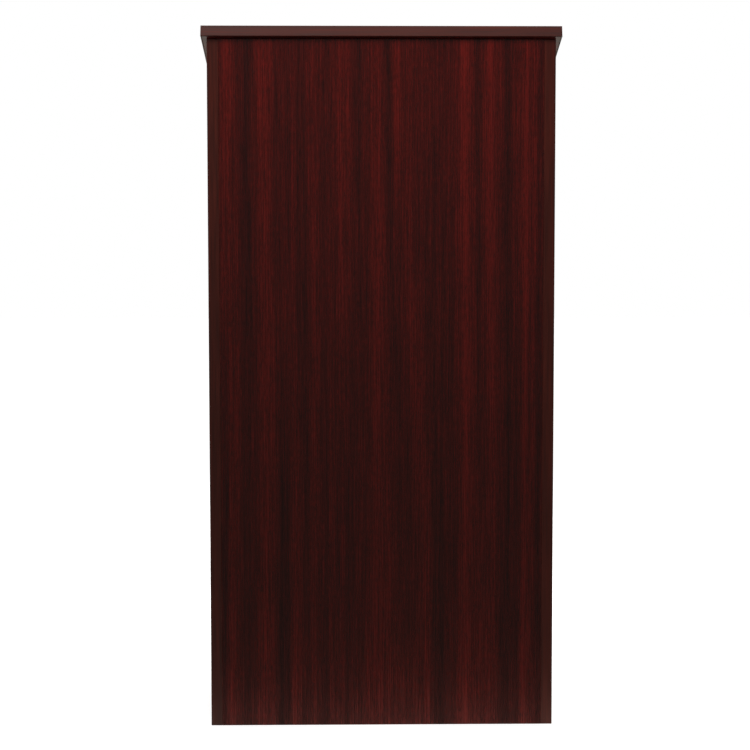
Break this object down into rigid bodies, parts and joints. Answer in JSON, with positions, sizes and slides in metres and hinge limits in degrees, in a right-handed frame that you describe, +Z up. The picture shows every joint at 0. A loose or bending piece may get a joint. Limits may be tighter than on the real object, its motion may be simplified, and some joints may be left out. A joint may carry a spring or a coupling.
{
  "type": "wooden pulpit",
  "caption": "Free-standing speaker's pulpit of mahogany-look laminated board: full-height front and sides, sloping reading top with a paper stop, shelves open to the speaker.",
  "frame": {"origin": "on the floor, under the middle of the whole outline", "axes": "+Z up, +Y from the audience towards the speaker, +X to the right as the audience sees it"},
  "size_m": [0.603, 0.4592, 1.185],
  "materials": {
    "mahogany_laminate": "satin dark mahogany laminate with a straight ribbon grain",
    "edge_band": "satin brown-red edge band with a fine lengthwise grain",
    "cam_fitting_zinc": "dull zinc die casting",
    "shelf_pin_steel": "bright nickel plate",
    "leveller_steel": "zinc plated steel",
    "leveller_pad_plastic": "moulded black nylon"
  },
  "bodies": {
    "carcass": {"front_panel": "mahogany_laminate", "left_side_panel": "mahogany_laminate", "right_side_panel": "mahogany_laminate", "reading_top": "mahogany_laminate", "paper_stop": "mahogany_laminate", "upper_shelf": "mahogany_laminate", "bottom_panel": "mahogany_laminate", "toe_kick": "mahogany_laminate", "left_side_front_edge_band": "edge_band", "left_side_rear_edge_band": "edge_band", "right_side_front_edge_band": "edge_band", "right_side_rear_edge_band": "edge_band", "top_front_edge_band": "edge_band", "top_rear_edge_band": "edge_band", "top_left_edge_band": "edge_band", "top_right_edge_band": "edge_band", "upper_shelf_edge_band": "edge_band", "bottom_panel_edge_band": "edge_band", "front_panel_lower_left_cam": "cam_fitting_zinc", "front_panel_lower_right_cam": "cam_fitting_zinc", "front_panel_upper_left_cam": "cam_fitting_zinc", "front_panel_upper_right_cam": "cam_fitting_zinc", "upper_shelf_left_cam": "cam_fitting_zinc", "upper_shelf_right_cam": "cam_fitting_zinc", "bottom_panel_left_cam": "cam_fitting_zinc", "bottom_panel_right_cam": "cam_fitting_zinc", "top_front_left_cam": "cam_fitting_zinc", "top_front_right_cam": "cam_fitting_zinc", "top_rear_left_cam": "cam_fitting_zinc", "top_rear_right_cam": "cam_fitting_zinc", "front_panel_lower_left_bolt": "cam_fitting_zinc", "front_panel_lower_right_bolt": "cam_fitting_zinc", "front_panel_upper_left_bolt": "cam_fitting_zinc", "front_panel_upper_right_bolt": "cam_fitting_zinc", "upper_shelf_left_bolt": "cam_fitting_zinc", "upper_shelf_right_bolt": "cam_fitting_zinc", "bottom_panel_left_bolt": "cam_fitting_zinc", "bottom_panel_right_bolt": "cam_fitting_zinc", "top_front_left_bolt": "cam_fitting_zinc", "top_front_right_bolt": "cam_fitting_zinc", "top_rear_left_bolt": "cam_fitting_zinc", "top_rear_right_bolt": "cam_fitting_zinc", "shelf_pin_front_left": "shelf_pin_steel", "shelf_pin_front_right": "shelf_pin_steel", "shelf_pin_rear_left": "shelf_pin_steel", "shelf_pin_rear_right": "shelf_pin_steel", "leveller_bracket_front_left": "leveller_steel", "leveller_bracket_front_right": "leveller_steel", "leveller_bracket_rear_left": "leveller_steel", "leveller_bracket_rear_right": "leveller_steel"},
    "adjustable_shelf": {"adjustable_shelf": "mahogany_laminate", "adjustable_shelf_edge_band": "edge_band"},
    "leveller_pad_front_left": {"leveller_pad_front_left": "leveller_pad_plastic"},
    "leveller_stud_front_left": {"leveller_stud_front_left": "leveller_steel"},
    "leveller_pad_front_right": {"leveller_pad_front_right": "leveller_pad_plastic"},
    "leveller_stud_front_right": {"leveller_stud_front_right": "leveller_steel"},
    "leveller_pad_rear_left": {"leveller_pad_rear_left": "leveller_pad_plastic"},
    "leveller_stud_rear_left": {"leveller_stud_rear_left": "leveller_steel"},
    "leveller_pad_rear_right": {"leveller_pad_rear_right": "leveller_pad_plastic"},
    "leveller_stud_rear_right": {"leveller_stud_rear_right": "leveller_steel"}
  },
  "joints": [
    {"name": "adjustable_shelf_slide", "type": "slide", "parent": "carcass", "child": "adjustable_shelf", "axis": [0, 1, 0], "range_m": [0, 0.4]},
    {"name": "leveller_drop_front_left", "type": "slide", "parent": "carcass", "child": "leveller_pad_front_left", "axis": [0, 0, -1], "range_m": [0, 0.015]},
    {"name": "leveller_turn_front_left", "type": "hinge", "parent": "leveller_pad_front_left", "child": "leveller_stud_front_left", "pos_m": [-0.2489, -0.1665, 0.03], "axis": [0, 0, -1], "range_deg": [0, 3601]},
    {"name": "leveller_drop_front_right", "type": "slide", "parent": "carcass", "child": "leveller_pad_front_right", "axis": [0, 0, -1], "range_m": [0, 0.015]},
    {"name": "leveller_turn_front_right", "type": "hinge", "parent": "leveller_pad_front_right", "child": "leveller_stud_front_right", "pos_m": [0.2489, -0.1665, 0.03], "axis": [0, 0, -1], "range_deg": [0, 3601]},
    {"name": "leveller_drop_rear_left", "type": "slide", "parent": "carcass", "child": "leveller_pad_rear_left", "axis": [0, 0, -1], "range_m": [0, 0.015]},
    {"name": "leveller_turn_rear_left", "type": "hinge", "parent": "leveller_pad_rear_left", "child": "leveller_stud_rear_left", "pos_m": [-0.2489, 0.1035, 0.03], "axis": [0, 0, -1], "range_deg": [0, 3601]},
    {"name": "leveller_drop_rear_right", "type": "slide", "parent": "carcass", "child": "leveller_pad_rear_right", "axis": [0, 0, -1], "range_m": [0, 0.015]},
    {"name": "leveller_turn_rear_right", "type": "hinge", "parent": "leveller_pad_rear_right", "child": "leveller_stud_rear_right", "pos_m": [0.2489, 0.1035, 0.03], "axis": [0, 0, -1], "range_deg": [0, 3601]}
  ],
  "couplings": [
    {"joint": "leveller_turn_front_left", "follows": "leveller_drop_front_left", "rad_per_m": 4188.8},
    {"joint": "leveller_turn_front_right", "follows": "leveller_drop_front_right", "rad_per_m": 4188.8},
    {"joint": "leveller_turn_rear_left", "follows": "leveller_drop_rear_left", "rad_per_m": 4188.8},
    {"joint": "leveller_turn_rear_right", "follows": "leveller_drop_rear_right", "rad_per_m": 4188.8}
  ]
}
